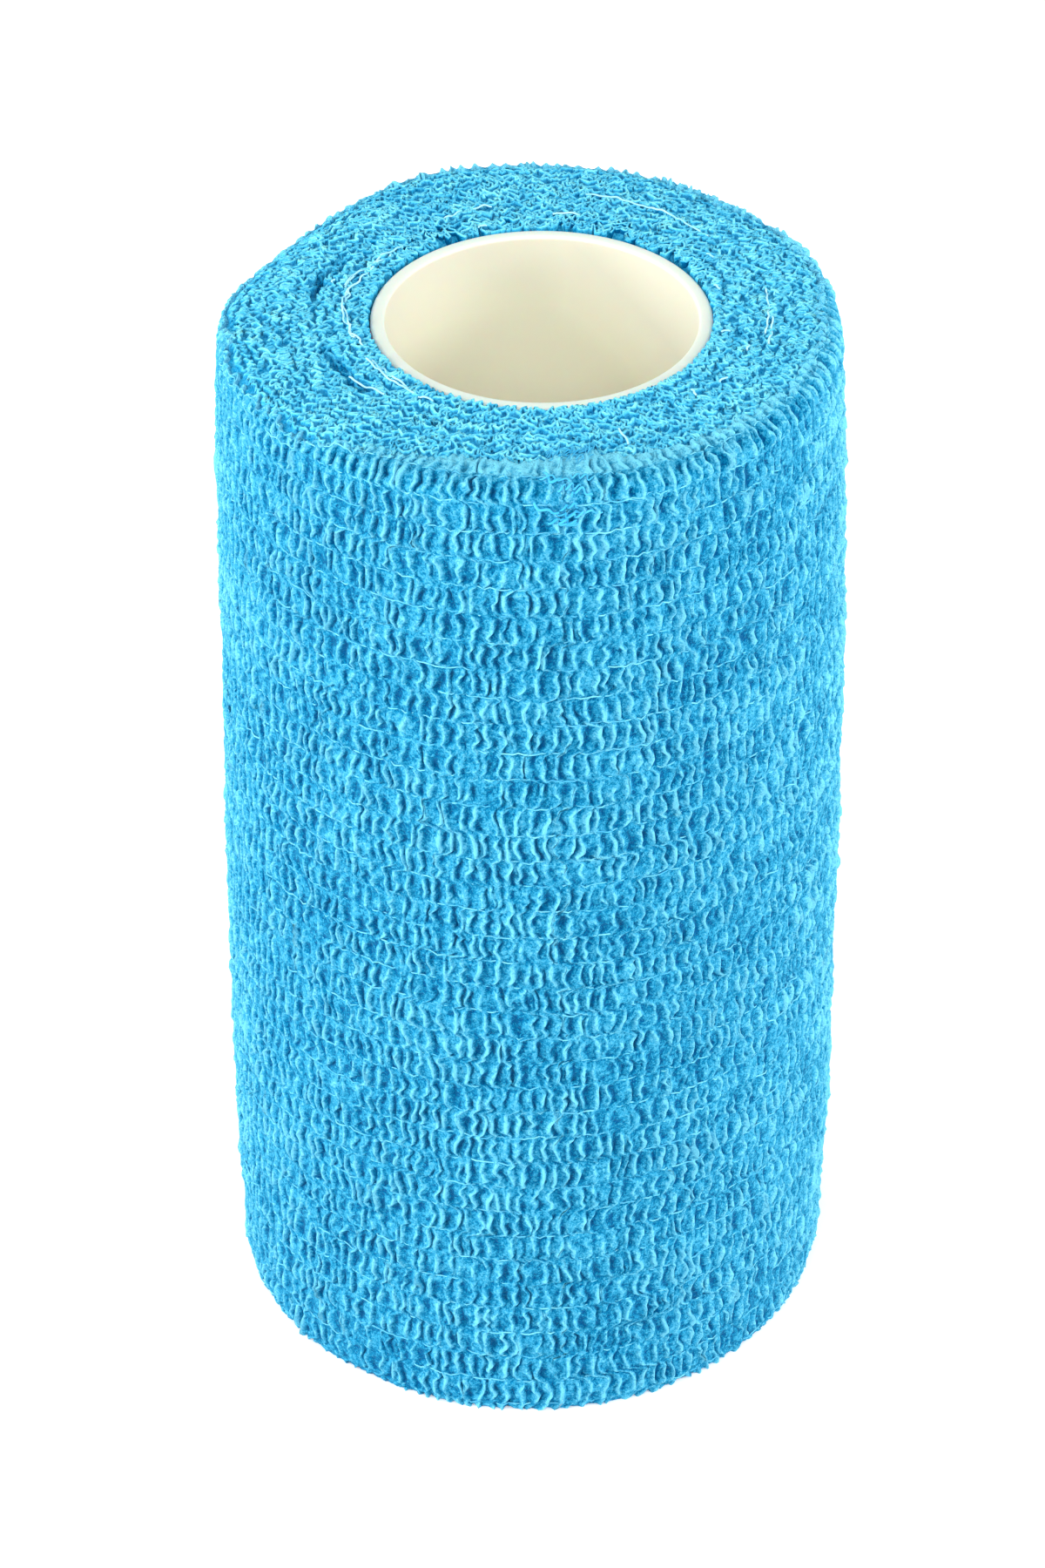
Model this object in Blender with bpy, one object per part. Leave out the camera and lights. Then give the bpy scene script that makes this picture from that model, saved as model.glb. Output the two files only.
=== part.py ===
"""Cohesive bandage roll: a strip of crinkled elastic bandage wound on a plastic tube, standing on end.

Frame: metres, +Z up along the roll. The origin is at the middle of the base, and -Y is the side where
the strip's outer end lies. Two pieces: the tube, open at both ends, and the wound bandage as one solid.
"""

import math

import bmesh
import bpy

MM = 0.001

# Driving dimensions.
ROLL_HEIGHT = 100.0 * MM  # the strip's width
ROLL_DIAMETER = 55.2 * MM
CORE_DIAMETER = 29.5 * MM
CORE_LENGTH = 99.9 * MM
CORE_WALL = 1.25 * MM
CORE_SHIFT = 0.8 * MM  # the winding is thicker on the -X side
FIT_GAP = 0.3 * MM  # between the tube and the first turn

# The elastic threads run round the roll and pinch the cloth, which bulges between them.
THREAD_PITCH = 2.79 * MM
THREAD_COUNT = 36
FIRST_THREAD = 0.75 * MM  # height of the lowest one
ROW_DEPTH = 0.40 * MM  # from a thread to the crest between two threads
THREAD_WAVE = 0.30 * MM  # how far a thread wanders up and down on its way round

# The wound form.
PLY = 0.73 * MM  # one layer as it lies in the roll
END_STEP = 0.16 * PLY  # what shows of the pressed-down outer end
END_ANGLE = math.radians(-84.5)  # where the strip ends, just right of the front
END_RAMP = math.radians(5.0)
TOP_ROUND = 2.1 * MM
BASE_ROUND = (0.5 * MM, 1.4 * MM)  # at the front and back, and at the two sides
BARREL = 0.20 * MM  # the lower half swells by this much
LEAN = 0.15 * MM  # the turns are this uneven from side to side
FOOT_LOBE = 0.38 * MM  # the foot is this much deeper from front to back, and narrower across
FOOT_HEIGHT = 16.0 * MM
FOOT_TURN = math.radians(-5.0)

# Where the roll is pressed in near its top: direction and spread in degrees, how far down it reaches,
# how much lower the rim lies there, and how much further in.
SHOULDERS = (
    (143.0, 52.0, 8.0 * MM, 2.10 * MM, 0.85 * MM),
    (46.0, 32.0, 7.0 * MM, 0.55 * MM, 0.10 * MM),
    (90.0, 40.0, 5.0 * MM, 0.25 * MM, 0.20 * MM),
    (-5.0, 62.0, 34.0 * MM, 0.0, 0.85 * MM),
)
RIM_WIDTH = 6.0 * MM

SEGMENTS = 56
ROUND_STEPS = 3
FACE_STEPS = 4
CORE_SEGMENTS = 72
CORE_LIP = 0.35 * MM
LIP_STEPS = 3

# (colour, roughness, metallic)
MATERIALS = {
    "bandage": ((0.045, 0.42, 0.70), 0.85, 0.0),
    "core": ((0.86, 0.84, 0.74), 0.45, 0.0),
}


def clear_scene():
    for old in list(bpy.data.objects):
        bpy.data.objects.remove(old, do_unlink=True)


def make_material(name):
    colour, roughness, metallic = MATERIALS[name]
    material = bpy.data.materials.new(name)
    material.use_nodes = True
    shader = material.node_tree.nodes["Principled BSDF"]
    shader.inputs["Base Color"].default_value = (*colour, 1.0)
    shader.inputs["Roughness"].default_value = roughness
    shader.inputs["Metallic"].default_value = metallic
    return material


def add_object(name, bm, material):
    """Turn the finished bmesh into a smooth-shaded object of its own."""
    bmesh.ops.recalc_face_normals(bm, faces=bm.faces)
    mesh = bpy.data.meshes.new(name)
    bm.to_mesh(mesh)
    bm.free()
    mesh.shade_smooth()
    mesh.set_sharp_from_angle(angle=math.radians(50.0))
    mesh.materials.append(material)
    item = bpy.data.objects.new(name, mesh)
    bpy.context.scene.collection.objects.link(item)
    return item


def swept_ring(section_at, segments):
    """A closed ring: the same number of section points at each angle, joined all the way round."""
    bm = bmesh.new()
    rings = []
    for step in range(segments):
        angle = 2.0 * math.pi * step / segments
        rings.append([bm.verts.new(point) for point in section_at(angle)])
    for ring, following in zip(rings, rings[1:] + rings[:1]):
        count = len(ring)
        for i in range(count):
            j = (i + 1) % count
            bm.faces.new((ring[i], following[i], following[j], ring[j]))
    return bm


# The tube.


def core_section():
    """(radius, height) round the tube's wall, with a rounded lip at each of its four edges."""
    outer = CORE_DIAMETER / 2.0
    inner = outer - CORE_WALL
    corners = (
        (inner + CORE_LIP, CORE_LIP, 180.0),
        (inner + CORE_LIP, CORE_LENGTH - CORE_LIP, 180.0),
        (outer - CORE_LIP, CORE_LENGTH - CORE_LIP, 90.0),
        (outer - CORE_LIP, CORE_LIP, 0.0),
    )
    section = []
    for i, (radius, height, start) in enumerate(corners):
        begin = start + 90.0 if i == 0 else start
        for step in range(LIP_STEPS + 1):
            turn = math.radians(begin - 90.0 * step / LIP_STEPS)
            section.append((radius + CORE_LIP * math.cos(turn), height + CORE_LIP * math.sin(turn)))
    return section


def build_core():
    section = core_section()

    def points(angle):
        return [(CORE_SHIFT + r * math.cos(angle), r * math.sin(angle), z) for r, z in section]

    bm = swept_ring(points, CORE_SEGMENTS)
    return add_object("core_tube", bm, make_material("core"))


# The wound bandage.


def thread_height(index, angle):
    """Height of one elastic thread; it wanders a little, and less so near the two ends."""
    middle = FIRST_THREAD + index * THREAD_PITCH
    calm = math.sin(math.pi * min(1.0, max(0.0, middle / ROLL_HEIGHT)))
    wave = math.sin(2.0 * angle + 0.35 * index) + 0.5 * math.sin(5.0 * angle - 0.8 * index)
    return middle + 0.5 * THREAD_WAVE * calm * wave


def turn_radius(angle, height):
    """Outer radius of the wound form, before the rows: barrel, unevenness and the spiral's step."""
    since_end = (angle - END_ANGLE) % (2.0 * math.pi)
    spiral = END_STEP * (0.5 - since_end / (2.0 * math.pi))
    if since_end < END_RAMP:
        spiral = END_STEP * (since_end / END_RAMP - 0.5)
    swell = BARREL * math.sin(math.pi * height / ROLL_HEIGHT) * (1.0 - 0.7 * height / ROLL_HEIGHT)
    lean = 0.5 * LEAN * math.sin(2.0 * angle + 4.0 * height / ROLL_HEIGHT)
    foot = FOOT_LOBE * math.cos(2.0 * (angle - FOOT_TURN)) * max(0.0, 1.0 - height / FOOT_HEIGHT)
    base = 0.5 * ROLL_DIAMETER - 0.5 * ROW_DEPTH
    return base + spiral + swell + lean - foot


def settled(radius, height, angle):
    """The point (radius, height) pressed in where the roll's shoulders are worn down."""
    outward = (radius - 0.5 * CORE_DIAMETER) / (0.5 * ROLL_DIAMETER - 0.5 * CORE_DIAMETER)
    outward = min(1.0, max(0.0, outward))
    rim = max(0.0, 1.0 - max(0.0, 0.5 * ROLL_DIAMETER - radius) / RIM_WIDTH) ** 1.5
    drop = inset = 0.0
    for azimuth, spread, reach, lower, inward in SHOULDERS:
        off = abs((math.degrees(angle) - azimuth + 180.0) % 360.0 - 180.0)
        bump = math.cos(0.5 * math.pi * min(1.0, off / spread)) ** 2
        near_top = min(1.0, max(0.0, (height - ROLL_HEIGHT + reach) / reach)) ** 1.3
        drop += lower * bump * near_top * rim
        inset += inward * bump * near_top * outward
    return radius - inset, height - drop


def crest_lift(index, angle):
    """How far the cloth stands out between two threads; the crinkles make it uneven."""
    lump = 0.6 * math.sin(9.0 * angle + 1.9 * index) + 0.4 * math.sin(14.0 * angle - 2.7 * index)
    return 0.5 * ROW_DEPTH * (1.0 + 0.25 * lump)


def side_rows(angle):
    """(radius, height) up the side: in at each thread, out halfway to the next."""
    rows = []
    for index in range(THREAD_COUNT):
        height = thread_height(index, angle)
        rows.append((turn_radius(angle, height) - 0.5 * ROW_DEPTH, height))
        if index + 1 < THREAD_COUNT:
            middle = 0.5 * (height + thread_height(index + 1, angle))
            rows.append((turn_radius(angle, middle) + crest_lift(index, angle), middle))
    return rows


def rounded_edge(side_radius, side_height, inset, end_height):
    """Points of a quarter ellipse from the side towards an end face, without its two end points."""
    edge = []
    for step in range(1, ROUND_STEPS + 1):
        turn = 0.5 * math.pi * step / (ROUND_STEPS + 1)
        radius = side_radius - inset * (1.0 - math.cos(turn))
        edge.append((radius, side_height + (end_height - side_height) * math.sin(turn)))
    return edge


def bandage_section(angle):
    """(radius, height) round the cloth, from the foot of its bore, over the top, to the base."""
    bore = 0.5 * CORE_DIAMETER + FIT_GAP
    # The bore follows the tube, which stands off centre.
    along, across = CORE_SHIFT * math.cos(angle), CORE_SHIFT * math.sin(angle)
    bore_radius = along + math.sqrt(bore**2 - across**2)
    rows = side_rows(angle)
    base_round = BASE_ROUND[0] + (BASE_ROUND[1] - BASE_ROUND[0]) * math.cos(angle) ** 2
    top_edge = rows[-1][0] - TOP_ROUND
    base_edge = rows[0][0] - base_round
    section = [(bore_radius, 0.0), (bore_radius, ROLL_HEIGHT)]
    for step in range(1, FACE_STEPS + 1):
        share = step / FACE_STEPS
        section.append((bore_radius + share * (top_edge - bore_radius), ROLL_HEIGHT))
    section += reversed(rounded_edge(*rows[-1], TOP_ROUND, ROLL_HEIGHT))
    section += reversed(rows)
    section += rounded_edge(*rows[0], base_round, 0.0)
    section.append((base_edge, 0.0))
    return [settled(radius, height, angle) for radius, height in section]


def build_bandage():
    def points(angle):
        return [(r * math.cos(angle), r * math.sin(angle), z) for r, z in bandage_section(angle)]

    bm = swept_ring(points, SEGMENTS)
    return add_object("bandage_roll", bm, make_material("bandage"))


def main():
    clear_scene()
    build_core()
    build_bandage()


main()
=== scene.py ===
"""Dresses a roll of cohesive bandage: the crinkled strip, its threads, its frayed corner and the tube.

Lengths are in millimetres, and add_mesh turns them into the frame's metres. Angles grow anticlockwise seen
from above, and the front, -Y, is at -90 degrees.
"""

import math

import bpy
import numpy as np
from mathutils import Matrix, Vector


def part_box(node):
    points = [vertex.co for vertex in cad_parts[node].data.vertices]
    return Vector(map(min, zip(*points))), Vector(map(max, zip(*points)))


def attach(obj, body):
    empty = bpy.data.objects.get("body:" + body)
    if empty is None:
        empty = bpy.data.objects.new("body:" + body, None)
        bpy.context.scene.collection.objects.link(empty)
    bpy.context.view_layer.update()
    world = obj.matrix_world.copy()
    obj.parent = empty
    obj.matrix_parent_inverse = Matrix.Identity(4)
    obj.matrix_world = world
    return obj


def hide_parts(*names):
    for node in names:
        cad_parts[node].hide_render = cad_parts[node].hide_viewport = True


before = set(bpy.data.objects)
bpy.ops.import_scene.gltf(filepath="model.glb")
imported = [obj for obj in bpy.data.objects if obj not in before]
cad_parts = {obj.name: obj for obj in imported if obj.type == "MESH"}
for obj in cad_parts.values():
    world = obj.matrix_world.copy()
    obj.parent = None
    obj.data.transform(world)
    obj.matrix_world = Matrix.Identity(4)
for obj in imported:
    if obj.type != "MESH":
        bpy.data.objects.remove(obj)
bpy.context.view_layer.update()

MM = 0.001
TAU = 2.0 * math.pi


def box_in_mm(node):
    """The two corners of a solid's box, in millimetres."""
    return [np.array(corner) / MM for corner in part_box(node)]


ROLL_LOW, ROLL_HIGH = box_in_mm("bandage_roll")
CORE_LOW, CORE_HIGH = box_in_mm("core_tube")

# Sizes of the roll and its tube, from the frame.
HEIGHT = ROLL_HIGH[2]
CREST_ROOM = 0.2  # left inside the solid's outline for the tallest crests
ROLL_RADIUS = 0.5 * (ROLL_HIGH - ROLL_LOW)[0] - CREST_ROOM
CORE_RADIUS = 0.5 * (CORE_HIGH - CORE_LOW)[1]
CORE_X = 0.5 * (CORE_HIGH + CORE_LOW)[0]
CORE_WALL = 1.25
CORE_LIP = 0.35
CORE_SEGMENTS = 180
LIP_POINTS = 6

# The elastic threads, and the rows of cloth between them.
THREAD_PITCH = 2.79
THREADS = 36
FIRST_THREAD = 0.75
THREAD_WAVE = 0.30
THREAD_RADIUS = 0.08
THREAD_SIDES = 3
THREAD_POINTS = 361  # along each thread
THREAD_SMOOTHS = 6  # columns of the cloth on either side, over which a thread's way is evened out

# The strip as it lies in the roll.
PLY = 0.73
END_ANGLE = math.radians(-84.5)  # where the strip is cut off
END_STEP = 0.12
TOP_ROUND = 2.1
BASE_ROUND = (0.5, 1.4)  # at the front and back, and at the two sides
BARREL = 0.20
LEAN = 0.15
FOOT_LOBE = 0.55
FOOT_HEIGHT = 16.0
FOOT_TURN = math.radians(-5.0)

# Where the roll is pressed in near its top: direction and spread in degrees, how far down it reaches,
# how much lower the rim lies there, and how much further in.
SHOULDERS = (
    (147.0, 44.0, 8.0, 2.30, 0.85),
    (48.0, 32.0, 7.0, 0.62, 0.10),
    (90.0, 40.0, 5.0, 0.25, 0.20),
    (-5.0, 62.0, 34.0, 0.0, 0.85),
    (-145.0, 50.0, 12.0, 0.60, 0.50),
)
RIM_WIDTH = 6.0

# The frayed corner at the strip's end: where it starts above the foot, the height over which it grows,
# and how far it lies from the end and spreads, in degrees.
FRAY_LOW = 97.0
FRAY_GROWTH = 1.5
FRAY_PLACE = 0.5
FRAY_SPREAD = 5.0
FRAY_EVENED = (0.6, 0.26, 0.54)  # how far the crinkles are evened out there, and to which lift and tone

# The calm cloth on the left: its direction and spread in degrees, how calm it is low down, and the height
# over which it gets calmer still.
CALM_TOWARDS = -172.0
CALM_SPREAD = 32.0
CALM_SHARE = 0.4
CALM_HEIGHT = (88.0, 97.0)
CALM_EVENED = (0.5, 0.32, 0.66)

# The crinkles of the outer turn: thin ridges that run up each row of cloth, with a hollow beside each.
RIDGES = 152  # round the roll
RIDGE_SHARES = np.array([0.0, 0.08, 0.17, 0.28, 0.43, 0.63, 0.81, 0.92])  # from one ridge to the next
COLUMNS = RIDGES * len(RIDGE_SHARES)
SECTORS = 4
RIDGE_SPACING = TAU * ROLL_RADIUS / RIDGES
ROW_SHARES = np.array([0.0, 0.09, 0.22, 0.40, 0.59, 0.77, 0.91])  # from one thread to the next
FLOOR_LIFT = 0.30
RIDGE_LIFT = 0.30
RIDGE_HALF = 0.17
RIDGE_LEAN = 0.04
HOLLOW_DEPTH = 0.28
ROW_BULGE = 0.11
CRUMB_LIFT = 0.035
SWELL_LIFT = 0.04
# The tone is painted shade and highlight: it darkens the hollows and the grooves at the threads, and pales
# the crests and swells.
# The cloth's tone: its middle, and how much the relief, the bulges and crumbs, and the swells change it.
TONE_MIDDLE = 0.50
TONE_RELIEF = 0.62
TONE_FINE = 0.10
TONE_SWELL = 0.03

# The lower edge: what lies under the foot, as (how far in, how high), and the turns round to the wall.
BASE_HEM = ((1.6, 0.5), (1.0, 0.1))
BASE_TURNS = np.radians([62.0, 40.0, 20.0])

# The upper edge: the last row of cloth runs over the rim, and past it lies the hem, on the upper face.
RIM_ROW = 2.25
RIM_STEPS = 200
HEM_SHARES = (0.1, 0.3, 0.55, 0.8, 1.0)
HEM = -len(HEM_SHARES)  # the first row of the hem's points
RIM = HEM - 1 - len(ROW_SHARES)  # the row of points at the highest thread on the wall
TUCK = ((0.25, 0.30, 0.9), (0.2, 1.4, 0.4))  # the hem's tucked edge: how far in, how far down, tone (darker, as painted shade)

# How much of the strip's edge is folded over the rim: (direction in degrees, width).
FOLDS = (
    (-180, 0.9), (-150, 0.9), (-135, 1.0), (-126, 2.0), (-119, 3.0), (-108, 3.5), (-100, 4.4), (-92, 4.7),
    (-84, 5.1), (-75, 5.0), (-67, 3.9), (-62, 3.4), (-55, 3.9), (-43, 3.6), (-28, 2.9), (-12, 2.6),
    (4, 2.3), (20, 1.7), (40, 1.6), (130, 1.6), (155, 0.9), (180, 0.9),
)
TIGHT_FOLD = 1.6  # the crinkles have no room on a fold as narrow as this
ROOMY_FOLD = 4.0  # and all the room they need on one as wide as this

# How much paler the cloth is painted on the rim, then on the hem, and then on the hem's edge as well:
# painted light. The last two say how much all round, how much more near the strip's end, and where and how
# wide that is.
RIM_PALER = 0.08
HEM_PALER = (0.17, 0.24, 0.0, 45.0)
EDGE_PALER = (0.08, 0.30, -2.0, 14.0)

# How deep the hollows are, in shape and in painted shade, from the highest thread on: (row of points,
# factor).
RIM_HOLLOWS = ((0, 1.7), (6, 1.5), (10, 1.5), (11, 0.7), (12, 0.4))


# Helpers.


def add_mesh(name, points, faces, material, normals=None, lift=None, uv=None):
    """A mesh object from points in millimetres and quads; lift is the cloth's tone from pit to crest, with
    painted shade and highlight.

    uv gives each face corner its place on the baked texture.
    """
    mesh = bpy.data.meshes.new(name)
    faces = np.asarray(faces, np.int32)
    mesh.vertices.add(len(points))
    mesh.vertices.foreach_set("co", (np.asarray(points) * MM).astype(np.float32).ravel())
    mesh.loops.add(faces.size)
    mesh.loops.foreach_set("vertex_index", faces.ravel())
    mesh.polygons.add(len(faces))
    mesh.polygons.foreach_set("loop_start", np.arange(0, faces.size, faces.shape[1], dtype=np.int32))
    mesh.update(calc_edges=True)
    mesh.shade_smooth()
    if lift is not None:
        attribute = mesh.attributes.new("lift", "FLOAT", "POINT")
        attribute.data.foreach_set("value", np.asarray(lift, np.float32).ravel())
    if uv is not None:
        layer = mesh.uv_layers.new(name="OFBake")
        layer.uv.foreach_set("vector", np.asarray(uv, np.float32).ravel())
    if normals is not None:
        mesh.normals_split_custom_set_from_vertices(np.asarray(normals, np.float32))
    mesh.materials.append(material)
    item = bpy.data.objects.new(name, mesh)
    bpy.context.scene.collection.objects.link(item)
    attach(item, "root")
    return item


def grid_faces(rows, columns, close_rows=False, close_columns=False, strips=1):
    """Quads of a grid whose points run along the columns first, and their texture corners.

    The texture lays the rows out in a number of strips, one above the other.
    """
    row = np.arange(rows if close_rows else rows - 1)[:, None]
    column = np.arange(columns if close_columns else columns - 1)[None, :]
    after, beside = (row + 1) % rows, (column + 1) % columns
    corners = np.broadcast_arrays(
        row * columns + column,
        row * columns + beside,
        after * columns + beside,
        after * columns + column,
    )
    faces = np.stack(corners, axis=-1).reshape(-1, 4)
    length = -(-row.size // strips)
    strip, place = row // length, row % length
    uv = []
    for step, side in ((0, 0), (0, 1), (1, 1), (1, 0)):
        across = (0.04 + 0.92 * (column + side) / column.size + strip) / strips
        along = 0.002 + 0.996 * (place + step) / length
        uv.append(np.stack(np.broadcast_arrays(along, across), axis=-1))
    return faces, np.stack(uv, axis=2).reshape(-1, 2)


def degrees_from(towards, angle):
    """How far an angle in radians lies from a direction in degrees, within half a turn either way."""
    return (np.degrees(angle) - towards + 180.0) % 360.0 - 180.0


def bumps(place, middle, half):
    """Bell-shaped bumps of unit height about `middle`, which fall to 37 % at a distance of `half`."""
    return np.exp(-(((place - middle) / half) ** 2))


def patches(random, shape, reach):
    """Noise of unit spread that repeats along both rows and columns; reach is its size along each."""
    along = np.fft.fftfreq(shape[0])[:, None] * reach[0]
    across = np.fft.fftfreq(shape[1])[None, :] * reach[1]
    noise = random.normal(size=shape) + 1j * random.normal(size=shape)
    field = np.fft.ifft2(noise * np.exp(-2.0 * (along**2 + across**2)))
    return field.real * math.sqrt(2.0 / np.mean(np.abs(field) ** 2))


def smooth_noise(random, count, step, length):
    """Noise along a line that repeats, with little that is shorter than `length` millimetres."""
    waves = np.fft.rfftfreq(count, step)
    spectrum = random.normal(size=len(waves)) + 1j * random.normal(size=len(waves))
    line = np.fft.irfft(spectrum * np.exp(-0.5 * (waves * length) ** 2), count)
    line -= line.mean()
    return line / line.std()


def add_strands(name, lines, radii, sides, material):
    """Joined tubes along lines, an array (strand, point, 3), with a radius for each point."""
    lines = np.asarray(lines, float)
    strands, count = lines.shape[:2]
    radii = np.broadcast_to(radii, (strands, count))
    along = np.gradient(lines, axis=1)
    along /= np.linalg.norm(along, axis=2, keepdims=True) + 1e-9
    out = lines * (1.0, 1.0, 0.0)
    out /= np.linalg.norm(out, axis=2, keepdims=True) + 1e-9
    first = np.cross(along, out)
    first /= np.linalg.norm(first, axis=2, keepdims=True) + 1e-9
    second = np.cross(along, first)
    turns = TAU * np.arange(sides) / sides
    ring = np.cos(turns)[:, None] * first[:, :, None] + np.sin(turns)[:, None] * second[:, :, None]
    points = (lines[:, :, None] + radii[:, :, None, None] * ring).reshape(-1, 3)
    tube, tube_uv = grid_faces(count, sides, close_columns=True)
    index = np.arange(strands)[:, None, None]
    faces = tube[None] + index * count * sides
    uv = np.broadcast_to(tube_uv[None], (strands, *tube_uv.shape)).copy()
    uv[:, :, 1:] = (uv[:, :, 1:] + index) / strands
    return add_mesh(name, points, faces.reshape(-1, 4), material, uv=uv)


# Materials.


class Look:
    """A material, and a short way to add nodes to it."""

    def __init__(self, name):
        self.material = bpy.data.materials.new(name)
        self.material.use_nodes = True
        self.tree = self.material.node_tree
        self.shader = self.tree.nodes["Principled BSDF"]
        self.place = self.add("TexCoord").outputs["Object"]

    def feed(self, socket, value):
        """Link a node's output to the socket, or set the socket to a constant."""
        if isinstance(value, bpy.types.NodeSocket):
            self.tree.links.new(value, socket)
        else:
            socket.default_value = value

    def add(self, kind, **inputs):
        """A new shader node, with its inputs fed by name."""
        node = self.tree.nodes.new("ShaderNode" + kind)
        for label, value in inputs.items():
            self.feed(node.inputs[label], value)
        return node

    def math(self, operation, *values):
        """The output of a new maths node."""
        node = self.add("Math")
        node.operation = operation
        for socket, value in zip(node.inputs, values):
            self.feed(socket, value)
        return node.outputs[0]

    def noise(self, scale, detail=3.0, roughness=0.6, distortion=0.0):
        """Noise from 0 to 1, with `scale` features in a metre."""
        node = self.add(
            "TexNoise",
            Vector=self.place,
            Scale=scale,
            Detail=detail,
            Roughness=roughness,
            Distortion=distortion,
        )
        return node.outputs["Fac"]

    def centred(self, source, amount):
        """The source's swing about its middle, times amount."""
        return self.math("MULTIPLY", self.math("SUBTRACT", source, 0.5), amount)

    def ramp(self, source, stops):
        """Colours for the source's values, from stops of (place, colour)."""
        node = self.add("ValToRGB", Fac=source)
        elements = node.color_ramp.elements
        while len(elements) < len(stops):
            elements.new(0.5)
        for element, (place, colour) in zip(elements, stops):
            element.position = place
            element.color = (*colour, 1.0)
        return node.outputs["Color"]

    def spread(self, source, low, high):
        """The source, which goes from 0 to 1, spread from low to high."""
        node = self.add("MapRange", Value=source)
        node.inputs["To Min"].default_value = low
        node.inputs["To Max"].default_value = high
        return node.outputs["Result"]

    def bump(self, height, distance, strength=1.0):
        """Fine relief of the surface, `distance` metres deep."""
        node = self.add("Bump", Height=height, Distance=distance, Strength=strength)
        self.feed(self.shader.inputs["Normal"], node.outputs["Normal"])

    def constants(self, **values):
        """Set the shader's own inputs; underscores stand for spaces in their names."""
        for label, value in values.items():
            self.shader.inputs[label.replace("_", " ")].default_value = value


# (place on the ramp, colour), from the hollows to the crests: painted shade at the dark end, a painted
# highlight at the pale end
SIDE_BLUES = (
    (0.00, (0.000, 0.100, 0.290)),
    (0.30, (0.001, 0.225, 0.455)),
    (0.55, (0.040, 0.408, 0.690)),
    (0.78, (0.103, 0.535, 0.800)),
    (1.00, (0.205, 0.750, 0.990)),
)
EDGE_BLUES = (
    (0.00, (0.000, 0.120, 0.310)),
    (0.10, (0.000, 0.255, 0.530)),
    (0.50, (0.082, 0.580, 0.880)),
    (1.00, (0.300, 0.950, 1.000)),
)
# The same for the inside of the tube, from its middle to its ends, which painted shade darkens; and its
# rims.
TUBE_CREAMS_WITH_SHADE = (
    (0.0, (0.990, 0.950, 0.785)),
    (0.6, (0.955, 0.915, 0.750)),
    (1.0, (0.730, 0.720, 0.600)),
)
# The rims are whitish and less yellow than the inside, and painted darker than its middle: painted shade
# against the light from above.
TUBE_RIM_WITH_SHADE = (0.71, 0.80, 0.72, 1.0)
TUBE_SHADE_DEPTHS = (0.033, 0.0498)  # metres from the middle, where the painted shade starts and where it is darkest
TUBE_SHADE_START_X = 0.003  # metres to the right, past which painted shade darkens it as well, where the left lamp shines in
TUBE_SHADE_PER_METRE = 50.0  # how fast that painted shade grows, in a metre
# The pale and the dull stretches of each kind of thread.
SIDE_THREAD = ((0.28, 0.87, 1.00), (0.09, 0.56, 0.86))
LOOSE_THREAD = ((0.52, 0.89, 0.98), (0.30, 0.75, 0.94))
LOOSE_FIBRE = ((0.10, 0.58, 0.87), (0.045, 0.45, 0.76))
FIBRE_SPECULAR = {"Specular_IOR_Level": 0.15, "Specular_Tint": (0.1, 0.75, 1.0, 1.0)}


def cloth_look(name, blues, crumbs):
    """Crinkled nonwoven with fibres all over: deeper blue in the pits as painted shade, paler on the
    crests as a painted highlight.

    crumbs is how strongly the fine clumps of fibre show.
    """
    look = Look(name)
    # The lift attribute carries the mesh's tone, in which shade and highlights are painted.
    lift = look.add("Attribute")
    lift.attribute_name = "lift"
    clump = look.noise(1500.0, 3.0, 0.6)
    crumb = look.noise(2900.0, 3.0, 0.6, 0.6)
    fibre = look.noise(6500.0, 2.0, 0.6)
    shade = look.math("ADD", lift.outputs["Fac"], look.centred(clump, 0.55 * crumbs))
    shade = look.math("ADD", shade, look.centred(crumb, 1.9 * crumbs))
    shade = look.math("ADD", shade, look.centred(fibre, 1.2 * crumbs))
    colour = look.ramp(shade, blues)
    look.feed(look.shader.inputs["Base Color"], colour)
    look.feed(look.shader.inputs["Roughness"], look.spread(clump, 0.62, 0.95))
    relief = look.math("ADD", look.math("MULTIPLY", crumb, 1.6), fibre)
    look.bump(relief, 0.00032, crumbs)
    look.constants(Sheen_Weight=0.26, Sheen_Roughness=0.35, Sheen_Tint=(0.24, 0.88, 1.0, 1.0))
    look.constants(**FIBRE_SPECULAR)
    return look.material


def thread_look(name, colour, dull):
    """Fine elastic thread, with stretches that are dull."""
    look = Look(name)
    patch = look.noise(420.0, 2.0)
    look.feed(look.shader.inputs["Base Color"], look.ramp(patch, [(0.35, dull), (0.65, colour)]))
    look.feed(look.shader.inputs["Roughness"], look.spread(patch, 0.35, 0.6))
    look.bump(look.noise(9000.0, 2.0), 0.00003, 0.5)
    look.constants(**FIBRE_SPECULAR)
    return look.material


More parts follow.
